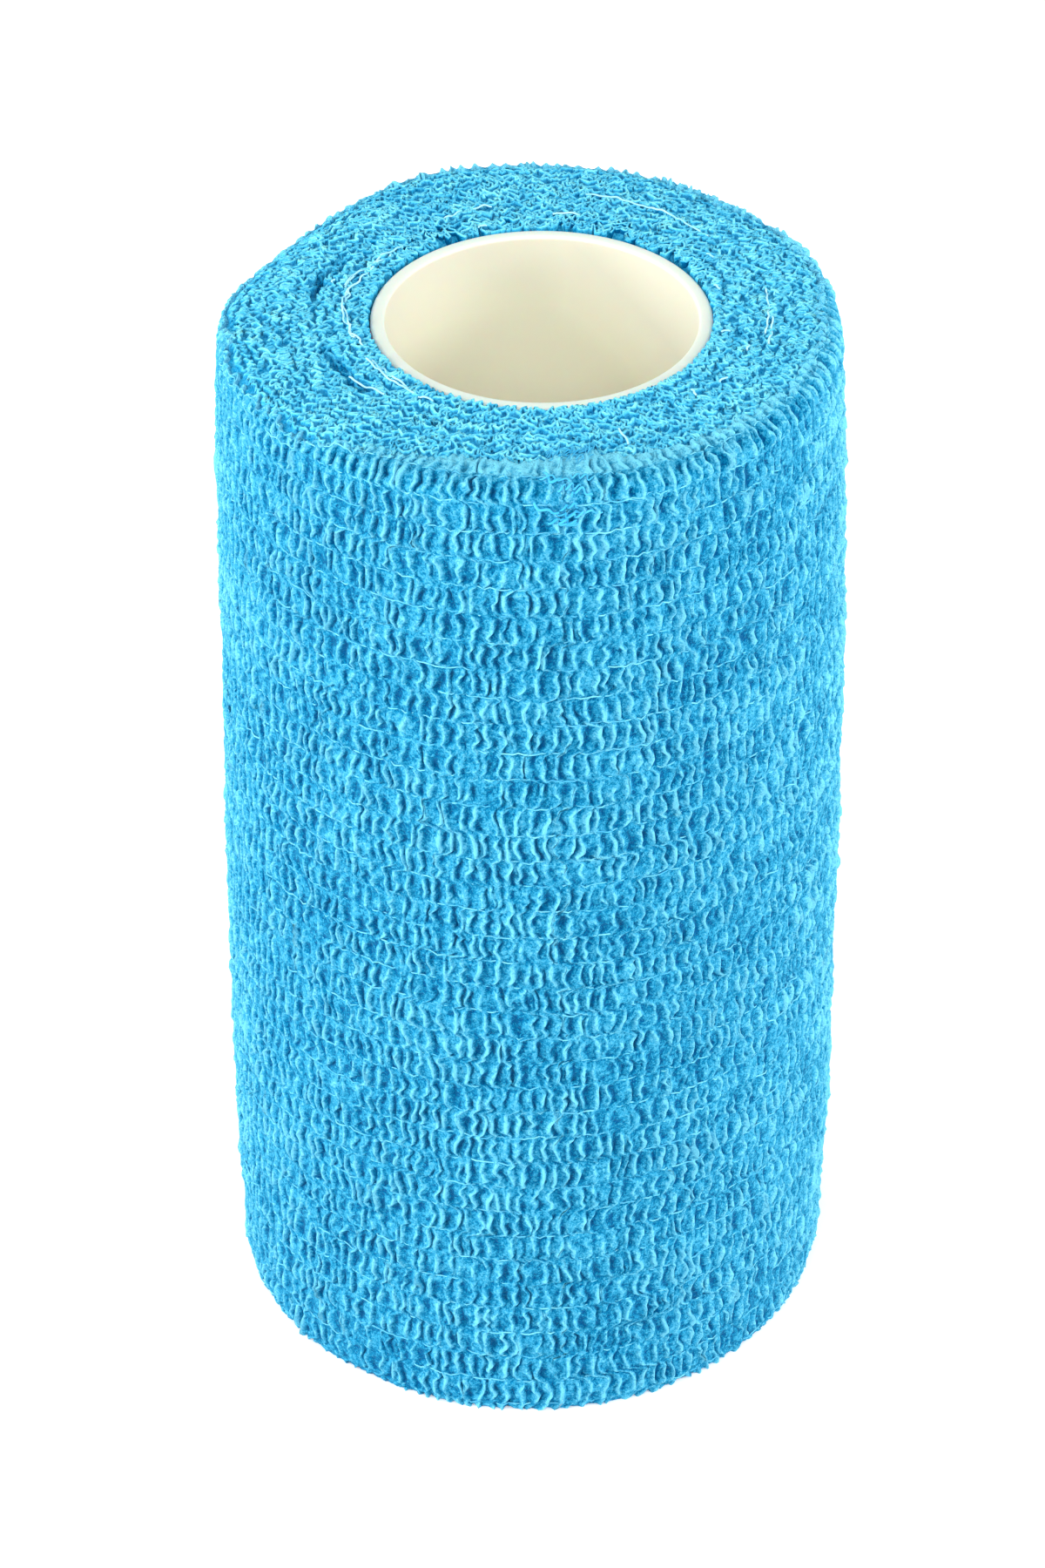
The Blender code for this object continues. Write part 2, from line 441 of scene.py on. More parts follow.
def core_look(name):
    """Off-white moulded plastic, slightly translucent, with painted shade; its rims are less yellow than
    its inside.
    """
    look = Look(name)
    cloud = look.noise(60.0, 3.0)
    grain = look.noise(2600.0, 3.0)
    place = look.add("SeparateXYZ", Vector=look.place)
    # Painted shade: the inside darkens towards both ends and towards its right, and the rims take their
    # darker colour.
    away = look.math("ABSOLUTE", look.math("SUBTRACT", place.outputs["Z"], 0.5 * HEIGHT * MM))
    depth = look.add("MapRange", Value=away)
    depth.inputs["From Min"].default_value = TUBE_SHADE_DEPTHS[0]
    depth.inputs["From Max"].default_value = TUBE_SHADE_DEPTHS[1]
    shade = look.math("ADD", depth.outputs["Result"], look.centred(cloud, 0.12))
    right_shade = look.math("MAXIMUM", look.math("SUBTRACT", place.outputs["X"], TUBE_SHADE_START_X), 0.0)
    shade = look.math("ADD", shade, look.math("MULTIPLY", right_shade, TUBE_SHADE_PER_METRE))
    inside = look.ramp(shade, TUBE_CREAMS_WITH_SHADE)
    facing = look.add("SeparateXYZ", Vector=look.add("TexCoord").outputs["Normal"]).outputs["Z"]
    rim = look.add("MapRange", Value=look.math("ABSOLUTE", facing))
    rim.inputs["From Min"].default_value = 0.20
    rim.inputs["From Max"].default_value = 0.50
    mix = look.add("Mix")
    mix.data_type = "RGBA"
    look.feed(mix.inputs["Factor"], rim.outputs["Result"])
    look.feed(mix.inputs[6], inside)
    look.feed(mix.inputs[7], TUBE_RIM_WITH_SHADE)
    look.feed(look.shader.inputs["Base Color"], mix.outputs[2])
    look.feed(look.shader.inputs["Roughness"], look.spread(grain, 0.34, 0.5))
    look.bump(grain, 0.00002, 0.4)
    look.constants(Subsurface_Weight=0.35, Subsurface_Scale=0.002)
    return look.material


# The outer turn.


def thread_height(index, angle):
    """Height of one thread; it wanders a little on its way round, and less so near the ends."""
    middle = FIRST_THREAD + index * THREAD_PITCH
    calm = math.sin(math.pi * min(1.0, max(0.0, middle / HEIGHT)))
    wave = np.sin(2.0 * angle + 0.35 * index) + 0.5 * np.sin(5.0 * angle - 0.8 * index)
    return middle + 0.5 * THREAD_WAVE * calm * wave


def pit_radius(angle, height):
    """Radius of the outer turn under its crinkles: spiral, barrel and unevenness."""
    since_end = (angle - END_ANGLE) / TAU
    spiral = END_STEP * (0.5 - since_end)
    swell = BARREL * np.sin(np.pi * height / HEIGHT) * (1.0 - 0.7 * height / HEIGHT)
    lean = 0.5 * LEAN * np.sin(2.0 * angle + 4.0 * height / HEIGHT)
    foot = FOOT_LOBE * np.cos(2.0 * (angle - FOOT_TURN)) * np.clip(1.0 - height / FOOT_HEIGHT, 0.0, 1.0)
    return ROLL_RADIUS - FLOOR_LIFT - RIDGE_LIFT + spiral + swell + lean - foot


def settle(points):
    """Press the points in where the roll's shoulders are worn down; points are (..., 3)."""
    x, y, z = np.moveaxis(points, -1, 0)
    radius, angle = np.hypot(x, y), np.arctan2(y, x)
    outward = np.clip((radius - CORE_RADIUS) / (ROLL_RADIUS - CORE_RADIUS), 0.0, 1.0)
    rim = np.clip(1.0 - (ROLL_RADIUS - radius) / RIM_WIDTH, 0.0, 1.0) ** 1.5
    drop, inset = np.zeros_like(z), np.zeros_like(z)
    for azimuth, spread, reach, lower, inward in SHOULDERS:
        off = np.abs(degrees_from(azimuth, angle))
        bump = np.cos(0.5 * np.pi * np.clip(off / spread, 0.0, 1.0)) ** 2
        near_top = np.clip((z - HEIGHT + reach) / reach, 0.0, 1.0) ** 1.3
        drop += lower * bump * near_top * rim
        inset += inward * bump * near_top * outward
    scale = (radius - inset) / radius
    return np.stack([x * scale, y * scale, z - drop], axis=-1)


def fold_width(angle):
    """How much of the strip's edge lies past its last thread on the wall."""
    return np.interp(degrees_from(0.0, angle), *zip(*FOLDS))


def rim_place(arc, angle):
    """Radius, height and slope of the outer turn, `arc` of cloth past the highest thread on the wall."""
    highest = thread_height(THREADS - 1, angle)
    rise = HEIGHT - highest
    turns = np.linspace(0.0, 0.5 * math.pi, RIM_STEPS)
    steps = np.hypot(TOP_ROUND * np.diff(np.cos(turns)), rise.mean() * np.diff(np.sin(turns)))
    lengths = np.concatenate([[0.0], np.cumsum(steps)])
    turn = np.interp(arc, lengths, turns)
    inward = np.maximum(arc - lengths[-1], 0.0)
    radius = pit_radius(angle, HEIGHT) - TOP_ROUND * (1.0 - np.cos(turn)) - inward
    height = highest + rise * np.sin(turn) + np.minimum(arc, 0.0)
    return radius, height, np.arctan2(TOP_ROUND * np.sin(turn), rise * np.cos(turn))


def turn_stations(angle, fold):
    """Rows of the outer turn from its lower edge to its upper one: radius, height, and its slope's angle.

    The slope is 0 on the wall and a right angle on the end faces. fold is the cloth past the wall.
    """
    lowest = thread_height(0, angle)
    flat = np.zeros_like(angle)
    stations = []
    base_round = BASE_ROUND[0] + (BASE_ROUND[1] - BASE_ROUND[0]) * np.cos(angle) ** 2
    foot = pit_radius(angle, flat) - base_round
    for inward, up in BASE_HEM:
        stations.append((foot - inward, flat + up, flat - 0.5 * math.pi))
    for turn in BASE_TURNS:
        height = lowest * (1.0 - math.sin(turn))
        radius = pit_radius(angle, height) - base_round * (1.0 - math.cos(turn))
        stations.append((radius, height, np.full_like(angle, -turn)))
    for index in range(THREADS - 1):
        low, high = thread_height(index, angle), thread_height(index + 1, angle)
        for share in ROW_SHARES:
            height = low + share * (high - low)
            stations.append((pit_radius(angle, height), height, flat))
    last_row = np.minimum(RIM_ROW, 0.8 * fold)
    arcs = [share * last_row for share in (*ROW_SHARES, 1.0)]
    arcs += [last_row + share * (fold - last_row) for share in HEM_SHARES]
    stations += [rim_place(arc, angle) for arc in arcs]
    return [np.array(column) for column in zip(*stations)]


def row_places():
    """For each row of the outer turn, its row of cloth and how far up it lies, from 0 to 1."""
    base = [(0, 0.1), (0, 0.3)] + [(0, 0.5 + 0.4 * math.cos(turn)) for turn in BASE_TURNS]
    wall = [(index + 1, share) for index in range(THREADS) for share in ROW_SHARES]
    hem = [(THREADS + 1, 0.0)] + [(THREADS + 1, 0.75 * share) for share in HEM_SHARES]
    return np.array(base + wall + hem)


def fray_share(angle, height):
    """How much of a point lies in the frayed corner at the strip's end, from 0 to 1."""
    across = bumps(degrees_from(np.degrees(END_ANGLE), angle), FRAY_PLACE, FRAY_SPREAD)
    return across * np.clip((height - FRAY_LOW) / FRAY_GROWTH, 0.0, 1.0)


def calm_share(angle, height):
    """How calm the cloth is at a point, from 0 to 1: most of all on the shoulder at the left."""
    off = np.abs(degrees_from(CALM_TOWARDS, angle))
    across = np.cos(0.5 * np.pi * np.clip(off / CALM_SPREAD, 0.0, 1.0))
    return across * np.interp(height, CALM_HEIGHT, (CALM_SHARE, 1.0))


def fold_room(place):
    """How much room the crinkles have on the fold over the rim, from 0 to 1.

    place is the share of a turn from the strip's end.
    """
    return np.interp(fold_width(END_ANGLE + TAU * place), (TIGHT_FOLD, ROOMY_FOLD), (0.0, 1.0))


def ridge_lines(random, places):
    """Where each ridge crosses each row of points, in ridge spacings from the strip's end.

    Every row of cloth has its own ridges, and at a thread each runs over into one of the next row's.
    """
    row = places[:, 0].astype(int)
    rows = (row.max() + 1, RIDGES)
    own = 0.25 * np.tanh(1.3 * patches(random, rows, (0.5, 0.7)))
    own += 0.35 * patches(random, rows, (0.5, 7.0))
    shift = own[row]
    threads = np.flatnonzero((places[:, 1] == 0.0) & (row > 0))
    shift[threads] = 0.5 * (own[row[threads]] + own[row[threads] - 1])
    shift += 0.23 * np.tanh(1.3 * patches(random, shift.shape, (1.8, 0.9)))
    roomy = fold_room(np.arange(RIDGES) / RIDGES)
    shift[RIM:] = shift[RIM] + roomy * (shift[RIM:] - shift[RIM])
    return np.arange(RIDGES) + shift


def ridges_and_hollows(random, places, spacing):
    """Height of the ridges and depth of the hollows, each as (row, ridge, point of a ridge spacing)."""
    pinch = np.sin(np.pi * np.clip(places[:, 1], 0.0, 1.0))[:, None, None] ** 0.8
    shape = (len(places), RIDGES)

    def uneven(middle, swing, reach, low=0.0, high=1.6):
        """A value for each ridge in each row of points, with patches of like size; reach is theirs."""
        return np.clip(middle + swing * patches(random, shape, reach), low, high)[:, :, None]

    strength = uneven(0.90, 0.30, (3.0, 0.7)) * uneven(1.0, 0.20, (9.0, 5.0))
    half = np.full((*shape, 1), RIDGE_HALF)
    half[RIM:] *= 1.7 - 0.7 * fold_room(np.arange(RIDGES) / RIDGES)[:, None]
    beside = np.append(strength[:, 1:], strength[:, :1], axis=1)
    ridge = strength * bumps(RIDGE_SHARES * spacing, 0.0, half)
    ridge = ridge + beside * bumps(RIDGE_SHARES * spacing, spacing, half)
    deepest = uneven(0.34, 0.09, (3.0, 0.7), 0.24, 0.62)
    above_thread = np.clip(1.0 - np.abs(places[:, 1] - 0.15) / 0.16, 0.0, 1.0)[:, None, None]
    depth = uneven(0.80, 0.50, (2.5, 0.7)) * pinch
    depth = depth + uneven(0.0, 0.65, (1.5, 0.7)) * above_thread
    left = uneven(0.15, 0.40, (2.5, 0.7)) * pinch
    hollow = depth * bumps(RIDGE_SHARES, deepest, 0.15) + left * bumps(RIDGE_SHARES, 0.76, 0.10)
    return ridge * (0.5 + 0.5 * pinch), hollow, pinch[:, :, 0]


def crinkles(random, places):
    """Ridge spacings from the strip's end, height of the cloth, its ridges, and its tone, at every point.

    The tone goes from 0 in the hollows to 1 on the crests, and follows the relief: painted shade and
    highlight.
    """
    lines = ridge_lines(random, places)
    following = np.append(lines[:, 1:], lines[:, :1] + RIDGES, axis=1)
    spacing = (following - lines)[:, :, None]
    flat = (len(places), COLUMNS)
    place = (lines[:, :, None] + RIDGE_SHARES * spacing).reshape(flat)
    ridge, hollow, pinch = ridges_and_hollows(random, places, spacing * RIDGE_SPACING)
    ridge, hollow = ridge.reshape(flat), hollow.reshape(flat)
    roomy = fold_room(place / RIDGES)
    calm = 1.0 - roomy[HEM:] * np.linspace(0.05, 0.45, len(HEM_SHARES))[:, None]
    ridge[HEM:] *= calm
    hollow[HEM:] *= calm
    hollow[RIM:] *= np.interp(np.arange(-RIM), *zip(*RIM_HOLLOWS))[:, None]
    crumbs, swell = patches(random, flat, (0.9, 1.5)), patches(random, flat, (12.0, 60.0))
    crumbs[RIM:] *= 0.2 + 0.8 * roomy[RIM:]
    bulge = pinch - 1.0
    lift = FLOOR_LIFT + RIDGE_LIFT * ridge - HOLLOW_DEPTH * hollow + ROW_BULGE * bulge
    lift = lift + CRUMB_LIFT * crumbs + SWELL_LIFT * swell
    # Painted shade in the hollows and at the threads, painted highlight on the ridges and swells.
    tone = TONE_MIDDLE + TONE_RELIEF * (ridge - hollow) + TONE_FINE * (bulge + crumbs) + TONE_SWELL * swell
    return place, lift, ridge, np.clip(tone, 0.0, 1.2)


def painted_rim_light(angle):
    """How much paler the cloth is painted, as painted light, in each row of points from the highest thread
    on.
    """
    off = degrees_from(np.degrees(END_ANGLE), angle)
    paler = np.full((-RIM, len(angle)), RIM_PALER)
    for first, (all_round, near_end, place, spread) in ((HEM, HEM_PALER), (-2, EDGE_PALER)):
        paler[first:] += all_round + near_end * bumps(off, place, spread)
    return paler


def grid_normals(points):
    """Normals of a grid of points, pointing away from the roll."""
    normals = np.cross(np.gradient(points, axis=1), np.gradient(points, axis=0))
    return normals / (np.linalg.norm(normals, axis=2, keepdims=True) + 1e-12)


def build_outer_turn(material):
    """The outermost turn as a crinkled sheet in a few sectors, which share their edges and normals.

    Returns the turn's angle, radius and height at its points, row by row.
    """
    random = np.random.default_rng(11)
    angle = END_ANGLE + TAU * np.arange(COLUMNS + 1) / COLUMNS
    step = TAU * ROLL_RADIUS / COLUMNS
    uneven = smooth_noise(random, COLUMNS, step, 1.0) + smooth_noise(random, COLUMNS, step, 9.0)
    fold = np.maximum(fold_width(angle) + 0.24 * np.append(uneven, uneven[0]), 0.7)
    radius, height, slope = turn_stations(angle, fold)
    place, lift, ridge, tone = crinkles(random, row_places())
    around = END_ANGLE + TAU * np.append(place, place[:, :1] + RIDGES, axis=1) / RIDGES
    lift, ridge, tone = [np.append(field, field[:, :1], axis=1) for field in (lift, ridge, tone)]
    fray, calm = fray_share(angle, height), calm_share(angle, height)
    fray[HEM:] = 0.0
    for share, (amount, level, shade) in ((fray, FRAY_EVENED), (calm, CALM_EVENED)):
        lift = lift + amount * share * (level - lift)
        tone = tone + amount * share * (shade - tone)
    # Painted light on the rim and the hem.
    tone[RIM:] += painted_rim_light(angle)
    radius = radius + lift * np.cos(slope)
    height = np.maximum(height + lift * np.sin(slope), 0.0)
    around = around + RIDGE_LEAN * ridge / ROLL_RADIUS
    points = np.stack([radius * np.cos(around), radius * np.sin(around), height], axis=-1)
    edge = points[-1]
    unit = edge[:, :2] / np.linalg.norm(edge[:, :2], axis=1, keepdims=True)
    tucked = []
    for inward, down, _ in TUCK:
        tucked.append(np.concatenate([edge[:, :2] - inward * unit, edge[:, 2:] - down], axis=1))
    points = settle(np.concatenate([points, np.array(tucked)], axis=0))
    normals = grid_normals(points)
    # The tucked edge is darker: painted shade.
    tone = np.concatenate([tone, *(tone[-1:] * shade for _, _, shade in TUCK)], axis=0)
    width = COLUMNS // SECTORS
    faces, uv = grid_faces(len(points), width + 1)
    for sector in range(SECTORS):
        part = slice(sector * width, (sector + 1) * width + 1)
        item = add_mesh(
            f"outer_turn_{sector}",
            points[:, part].reshape(-1, 3),
            faces,
            material,
            normals[:, part].reshape(-1, 3),
            tone[:, part],
            uv,
        )
        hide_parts("bandage_roll")
    return around, radius, height


def build_side_threads(around, radius, height, material):
    """The elastic threads of the outer turn, which dive under the cloth and come up again.

    The last one lies on the upper face, between the last row of cloth and the hem.
    """
    random = np.random.default_rng(23)
    angle = END_ANGLE + TAU * np.linspace(0.0, 1.0, THREAD_POINTS)
    spacing = TAU * ROLL_RADIUS / (THREAD_POINTS - 1)

    def noise(reach):
        return smooth_noise(random, THREAD_POINTS, spacing, reach)

    first = len(BASE_HEM) + len(BASE_TURNS)
    last = first + THREADS * len(ROW_SHARES)
    window = np.ones(2 * THREAD_SMOOTHS + 1) / (2 * THREAD_SMOOTHS + 1)
    lines = []
    for row in range(first, last + 1, len(ROW_SHARES)):
        smoothed = np.convolve(np.pad(radius[row], THREAD_SMOOTHS, mode="edge"), window, mode="valid")
        reach = np.interp(angle, around[row], smoothed)
        level = np.interp(angle, around[row], height[row])
        out = -0.11 + 0.10 * noise(0.8) + 0.06 * noise(8.0)
        level += 0.05 * noise(2.5) + 0.06 * noise(0.8)
        if row == last:
            level += out
        else:
            reach += out
        lines.append(settle(np.stack([reach * np.cos(angle), reach * np.sin(angle), level], axis=-1)))
    item = add_strands("elastic_threads", lines, THREAD_RADIUS, THREAD_SIDES, material)


# The inner turns.

INNER_WAVE = 0.76
WAVE_STEPS = 7
WEB_HALF = 0.15
WEB_BEVEL = 0.17
INNER_SWING = 0.40
INNER_CURL = 0.20
FACE_RISE = 0.30  # how much the first turns stand above the tube, in front of it
FIRST_TURN = CORE_RADIUS - 0.15
SNUG_TURN = CORE_RADIUS + 0.40  # no turn lies nearer the tube
LAST_TURN = ROLL_RADIUS - 1.2
TIGHT_TURN = ROLL_RADIUS - 0.85  # the outer turn presses on what reaches this far
BASE_DRAWN_IN = 0.65
UV_STRIPS = 60  # the web is so long that its texture is laid out in strips
# A slack place between two turns, seen on the upper face: angles and radii at its two ends.
GAP_ANGLES = np.radians([148.0, 224.0])
GAP_RADII = (20.1, 18.7)
# Small dark pockets along the back of the tube: how far the turns stand off, and how far out that is felt.
POCKET_DEPTH = 1.25
POCKET_REACH = 1.4
POCKET_POINTS = 360


def end_height(radius, angle):
    """Height of the upper end face: rounded at the rim, and a little higher in front of the tube."""
    last = FIRST_THREAD + (THREADS - 1) * THREAD_PITCH
    into_rim = np.clip((radius - ROLL_RADIUS + 0.25 + TOP_ROUND) / TOP_ROUND, 0.0, 0.98)
    front = np.clip(0.5 - 0.8 * np.sin(angle), 0.0, 1.0)
    rise = FACE_RISE * front * np.clip(1.0 - (radius - CORE_RADIUS) / 5.0, 0.0, 1.0)
    hem = ROLL_RADIUS - 0.6 - np.maximum(fold_width(angle) - 0.85, 0.0)
    under = 0.5 * np.clip((radius - hem) / 0.7, 0.0, 1.0)
    return last + (HEIGHT - last) * np.sqrt(1.0 - into_rim**2) + rise - under


def gap_opening(radius, angle):
    """How open the slack place is at an angle, 0 to 1, and how far outside its middle a radius lies."""
    share = (np.mod(angle, TAU) - GAP_ANGLES[0]) / (GAP_ANGLES[1] - GAP_ANGLES[0])
    middle = GAP_RADII[0] + share * (GAP_RADII[1] - GAP_RADII[0]) + 0.15 * np.sin(14.0 * angle)
    ends = np.clip(8.0 * share, 0.0, 1.0) * np.clip(8.0 * (1.0 - share), 0.0, 1.0)
    return ends * np.clip(np.abs(share - 0.48) / 0.12 - 1.0, 0.0, 1.0), radius - middle


def behind_tube(angle):
    """1 behind the tube, and 0 beside it and in front."""
    return np.clip(2.2 * np.sin(angle) - 0.7, 0.0, 1.0)


def back_pockets(angle):
    """How far the first turns stand off the tube in the small dark pockets along its back, from 0 to 1."""
    random = np.random.default_rng(67)
    spots = smooth_noise(random, POCKET_POINTS, TAU * CORE_RADIUS / POCKET_POINTS, 0.75)
    turns = np.linspace(0.0, TAU, POCKET_POINTS + 1)
    spots = np.interp(np.mod(angle, TAU), turns, np.append(spots, spots[0]))
    return behind_tube(angle) * np.clip(0.1 + 1.1 * spots, 0.0, 1.0)


def build_inner_turns(material):
    """All turns under the outer one, as one corrugated web on a spiral; only its edges show."""
    random = np.random.default_rng(37)
    turns = (LAST_TURN - FIRST_TURN) / PLY
    length = TAU * turns * 0.5 * (FIRST_TURN + LAST_TURN)
    step = INNER_WAVE / WAVE_STEPS
    along = np.arange(0.0, length, step)
    count = len(along)
    radius = np.sqrt(FIRST_TURN**2 + PLY * along / math.pi)
    angle = END_ANGLE + (radius - FIRST_TURN) * TAU / PLY
    share = (radius - FIRST_TURN) / (LAST_TURN - FIRST_TURN)

    def noise(reach):
        return smooth_noise(random, count, step, reach)

    radius = np.maximum(radius + 0.10 * noise(3.0) * np.clip(8.0 * share, 0.0, 1.0), SNUG_TURN)
    opening, away = gap_opening(radius, angle)
    radius += 0.16 * opening * np.tanh(away / 0.15) * bumps(away, 0.0, 0.8)
    pocket = back_pockets(angle)
    radius += POCKET_DEPTH * pocket * np.exp(-(radius - SNUG_TURN) / POCKET_REACH)
    pocket = pocket * (share < 0.25)
    phase = TAU * along / INNER_WAVE + 2.4 * noise(2.4)
    swing = INNER_SWING * (1.0 + 0.28 * noise(1.2))
    swing *= 1.0 - 0.4 * np.clip((share - 0.85) / 0.15, 0.0, 1.0)
    out = swing * np.sin(phase) * (1.0 - 0.5 * opening * bumps(away, 0.0, 0.5))
    sideways = INNER_CURL * np.sin(2.0 * phase + 1.2 * noise(3.0))
    around = angle + sideways / radius
    centre = CORE_X * (1.0 - share)
    reach = np.clip(radius + out, CORE_RADIUS + 0.18 + 1.1 * pocket, TIGHT_TURN)
    path = np.stack([centre + reach * np.cos(around), reach * np.sin(around)], axis=-1)
    tangent = np.gradient(path, axis=0)
    tangent /= np.linalg.norm(tangent, axis=1, keepdims=True)
    half = WEB_HALF * (1.0 + 0.15 * noise(1.2))
    side = np.stack([tangent[:, 1], -tangent[:, 0]], axis=-1) * half[:, None]
    ragged = (0.035 * noise(1.1) + 0.06 * noise(2.5)) * np.clip(0.35 + 6.0 * share, 0.0, 1.0)
    gap = opening * bumps(away, 0.0, 0.30)
    top = end_height(radius + out, around) + ragged - 0.7 * gap
    base = np.clip(0.12 + 0.08 * noise(0.5), 0.0, 1.0)
    drawn_in = (1.0 - BASE_DRAWN_IN * np.clip(share, 0.0, 1.0) / reach)[:, None]
    section = (
        (1.0, -1.0, top - WEB_BEVEL),
        (1.0, -0.4, top),
        (1.0, 0.4, top),
        (1.0, 1.0, top - WEB_BEVEL),
        (drawn_in, 0.0, base),
    )
    rings = []
    for scale, across, height in section:
        rings.append(np.concatenate([path * scale + across * side, height[:, None]], axis=1))
    points = np.stack(rings, axis=1)
    # Painted shade: darker down the webs' flanks, in the slack place and in the pockets behind the tube;
    # the higher, ragged tops are painted paler.
    level = np.clip(0.60 + 1.2 * ragged - 0.7 * gap + 0.10 * noise(1.2), 0.0, 1.1)
    flank = level * 0.45 - 0.9 * pocket
    tone = np.stack([flank, level + 0.05, level + 0.05, flank, level], axis=1)
    faces, uv = grid_faces(count, len(section), close_columns=True, strips=UV_STRIPS)
    item = add_mesh("inner_turns", settle(points).reshape(-1, 3), faces, material, lift=tone, uv=uv)
    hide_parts("bandage_roll")


PACKING_SEGMENTS = 240
PACKING_RINGS = 15
PACKING_DEPTH = 0.45  # above the base
PACKING_SUNK = 0.42  # below the upper face
PACKING_SHADE_TONE = 0.22


def build_packing(material):
    """The crushed cloth between the inner turns, a little below their edges at both ends, dark with
    painted shade.
    """
    random = np.random.default_rng(41)
    angle = TAU * np.arange(PACKING_SEGMENTS) / PACKING_SEGMENTS
    for name, outermost in (("top_packing_shade", TIGHT_TURN + 0.1), ("base_packing_shade", ROLL_RADIUS - 1.3)):
        radius, around = np.meshgrid(np.linspace(SNUG_TURN - 0.2, outermost, PACKING_RINGS), angle)
        rough = 0.06 * random.normal(size=radius.shape)
        centre = CORE_X * (1.0 - (radius - FIRST_TURN) / (LAST_TURN - FIRST_TURN))
        height = PACKING_DEPTH + rough
        if name == "top_packing_shade":
            opening, away = gap_opening(radius, around)
            back = behind_tube(around) * np.clip(1.0 - (radius - SNUG_TURN) / 0.6, 0.0, 1.0)
            sunk = PACKING_SUNK + opening * bumps(away, 0.0, 0.5) + 1.2 * back
            height = end_height(radius, around) + rough - sunk
        x, y = centre + radius * np.cos(around), radius * np.sin(around)
        points = settle(np.stack([x, y, height], axis=-1)).reshape(-1, 3)
        # A dark tone: painted shade in the gaps between the turns.
        tone = np.full(radius.shape, PACKING_SHADE_TONE)
        faces, uv = grid_faces(*radius.shape, close_rows=True)
        item = add_mesh(name, points, faces, material, lift=tone, uv=uv)


# Loose ends of elastic thread on the upper face: degrees and radius at both ends, how much each wriggles.
LOOSE_THREADS = (
    (134.0, 163.0, 16.3, 17.0, 0.10),
    (140.0, 172.0, 15.9, 16.5, 0.16),
    (158.0, 200.0, 17.1, 15.3, 0.14),
    (165.0, 195.0, 16.6, 15.6, 0.14),
    (-153.0, -121.0, 15.9, 16.3, 0.08),
    (-151.0, -131.0, 15.5, 15.9, 0.08),
    (-147.0, -134.0, 18.6, 18.0, 0.05),
    (-13.0, -1.0, 21.1, 20.9, 0.08),
    (-8.0, 14.0, 20.5, 21.0, 0.08),
    (41.0, 77.0, 20.6, 21.3, 0.05),
    (76.0, 84.0, 17.6, 17.2, 0.04),
    (101.0, 107.0, 18.8, 18.9, 0.04),
    (110.0, 116.0, 18.6, 18.2, 0.04),
)
# Short bright snippets: degrees, radius, length, and the direction each points in.
SNIPPETS = (
    (-9.8, 16.9, 0.9, 10.0),
    (15.9, 16.7, 0.8, 120.0),
    (32.6, 18.5, 0.8, 130.0),
    (-33.0, 19.4, 1.1, 40.0),
    (-42.8, 18.6, 0.9, 110.0),
    (-16.2, 19.4, 0.9, 70.0),
    (106.4, 15.5, 0.9, 20.0),
    (162.0, 18.3, 0.6, 60.0),
    (-68.6, 20.8, 2.6, -70.0),
)
LOOSE_POINTS = 60
LOOSE_RADIUS = 0.09
STRAND_SIDES = 5


def build_loose_threads(material):
    """Pale ends of elastic thread that lie on the upper face and dip between the turns."""
    random = np.random.default_rng(53)

    def noise(step, reach):
        return smooth_noise(random, 2 * LOOSE_POINTS, step, reach)[:LOOSE_POINTS]

    lines = []
    for start, end, first, last, wriggle in LOOSE_THREADS:
        step = abs(math.radians(end - start)) * first / LOOSE_POINTS
        radius = np.linspace(first, last, LOOSE_POINTS) + wriggle * noise(step, 2.2)
        angle = np.radians(np.linspace(start, end, LOOSE_POINTS))
        angle += 0.5 * wriggle * noise(step, 1.6) / radius
        height = end_height(radius, angle) + 0.05 + 0.09 * noise(step, 1.8)
        lines.append(np.stack([radius * np.cos(angle), radius * np.sin(angle), height], axis=-1))
    share = np.linspace(-0.5, 0.5, LOOSE_POINTS)
    for place, middle, length, heading in SNIPPETS:
        turn, way = math.radians(place), math.radians(heading)
        x = middle * math.cos(turn) + share * length * math.cos(way) + 0.05 * np.sin(9.0 * share)
        y = middle * math.sin(turn) + share * length * math.sin(way)
        height = end_height(np.hypot(x, y), np.arctan2(y, x)) + 0.22 - 0.4 * share**2
        lines.append(np.stack([x, y, height], axis=-1))
    item = add_strands("loose_threads", settle(np.array(lines)), LOOSE_RADIUS, STRAND_SIDES, material)


# The frayed corner's strands: how many curls, how much fuzz, and the points along each.
CURLS = 13
FUZZ = 46
FRAY_POINTS = 36


def build_fray(material):
    """Curly strands that have come loose at the cut end's upper corner, and finer fuzz beside its edge."""
    random = np.random.default_rng(61)
    share = np.linspace(-0.5, 0.5, FRAY_POINTS)[None, :]

    def each(curls, fuzz):
        """One number for each strand, between the two limits given for its kind."""
        return np.concatenate([random.uniform(*curls, (CURLS, 1)), random.uniform(*fuzz, (FUZZ, 1))])

    across, arc = each((-2.4, 1.6), (-1.2, 3.4)), each((-1.8, 2.2), (4.4, 6.3))
    length, thick = each((1.4, 3.2), (0.7, 1.8)), each((0.08, 0.14), (0.03, 0.06))
    heading = each((-0.40, 0.35), (0.2, 1.6)) + each((-1.2, 1.2), (-0.5, 0.5)) * share
    turns = each((1.5, 3.2), (0.5, 1.0)) * share + each((0.0, 1.0), (0.0, 1.0))
    curl = each((0.10, 0.24), (0.02, 0.08)) * np.sin(TAU * turns)
    around = across + length * share * np.cos(heading) + 0.6 * curl
    arc = arc + length * share * np.sin(heading) + curl
    angle = END_ANGLE + around / ROLL_RADIUS
    radius, height, slope = rim_place(arc, angle)
    lift = each((0.34, 0.52), (0.20, 0.36)) + each((0.06, 0.14), (0.03, 0.06)) * np.cos(TAU * turns)
    radius, height = radius + lift * np.cos(slope), height + lift * np.sin(slope)
    lines = settle(np.stack([radius * np.cos(angle), radius * np.sin(angle), height], axis=-1))
    item = add_strands("frayed_fibres", lines, thick * (1.0 - 1.2 * share**2), STRAND_SIDES, material)


# The tube.


